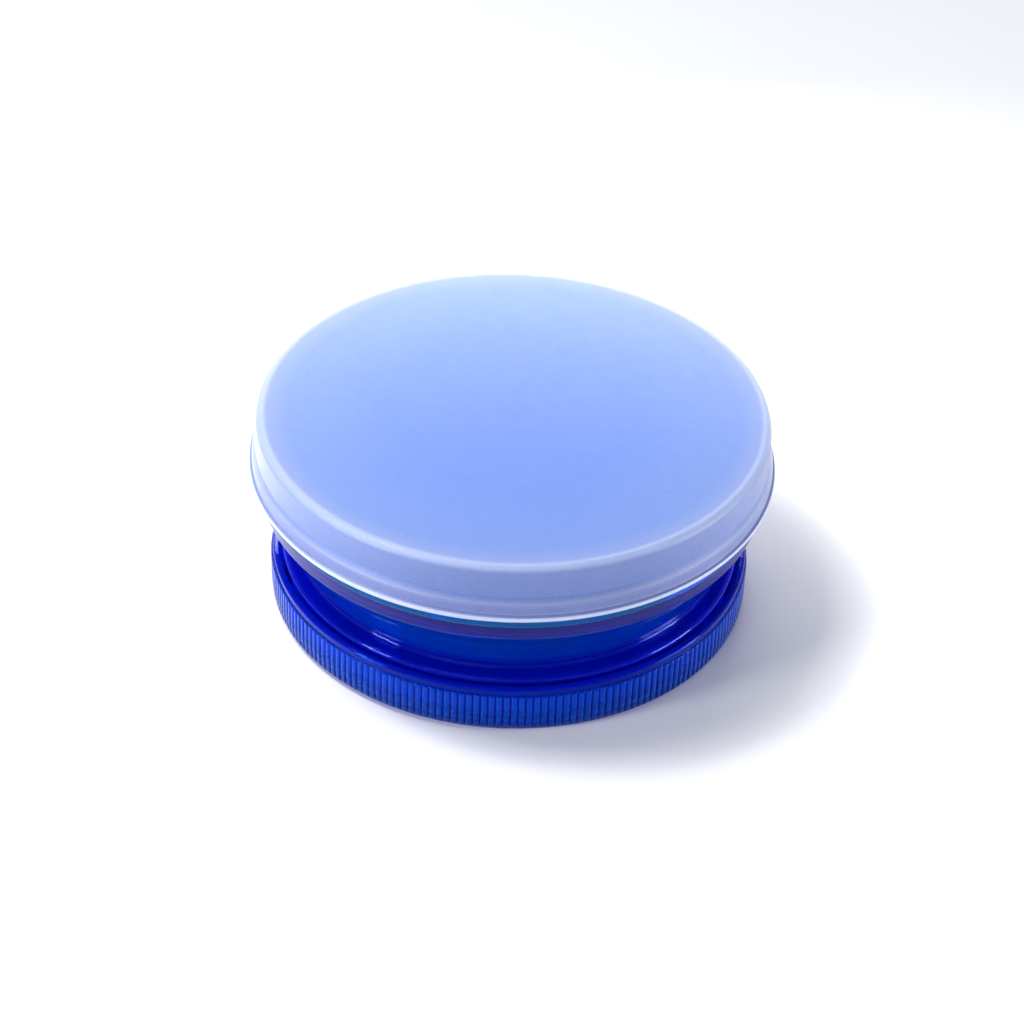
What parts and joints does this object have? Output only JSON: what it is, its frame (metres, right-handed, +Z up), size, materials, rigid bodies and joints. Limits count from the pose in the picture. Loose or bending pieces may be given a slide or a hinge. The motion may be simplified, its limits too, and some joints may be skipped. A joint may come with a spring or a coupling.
{
  "type": "pill crusher",
  "caption": "Round screw-type pill crusher: ribbed dish base with a crushing well, tapered clear blue storage cup that screws down on it, and a frosted snap cover.",
  "frame": {"origin": "centre of the base's underside, on the surface that the crusher stands on", "axes": "+Z up along the screw axis; X and Y lie in the surface, and the body is round about Z"},
  "size_m": [0.075, 0.075, 0.0302],
  "materials": {
    "frosted_plastic": "frosted translucent polyethylene with a fine grain",
    "clear_blue_cup": "polished transparent cobalt blue",
    "clear_blue_inner": "polished transparent cobalt blue",
    "clear_blue_base": "polished transparent cobalt blue, ribbed at the rim"
  },
  "bodies": {
    "base": {"base_dish": "clear_blue_base", "anvil_plate": "clear_blue_inner"},
    "disc": {"crushing_disc": "clear_blue_inner"},
    "cup": {"storage_cup": "clear_blue_cup", "pestle": "clear_blue_inner"},
    "cover": {"cover": "frosted_plastic"}
  },
  "joints": [
    {"name": "cup_rise", "type": "slide", "parent": "base", "child": "disc", "axis": [0, 0, 1], "range_m": [0, 0.012]},
    {"name": "cup_turn", "type": "hinge", "parent": "disc", "child": "cup", "pos_m": [0, 0, 0.006], "axis": [0, 0, 1], "range_deg": [0, 1080]},
    {"name": "cover_lift", "type": "slide", "parent": "cup", "child": "cover", "axis": [0, 0, 1], "range_m": [0, 0.012]}
  ],
  "couplings": [
    {"joint": "cup_rise", "follows": "cup_turn", "m_per_rad": 0.00063662}
  ]
}
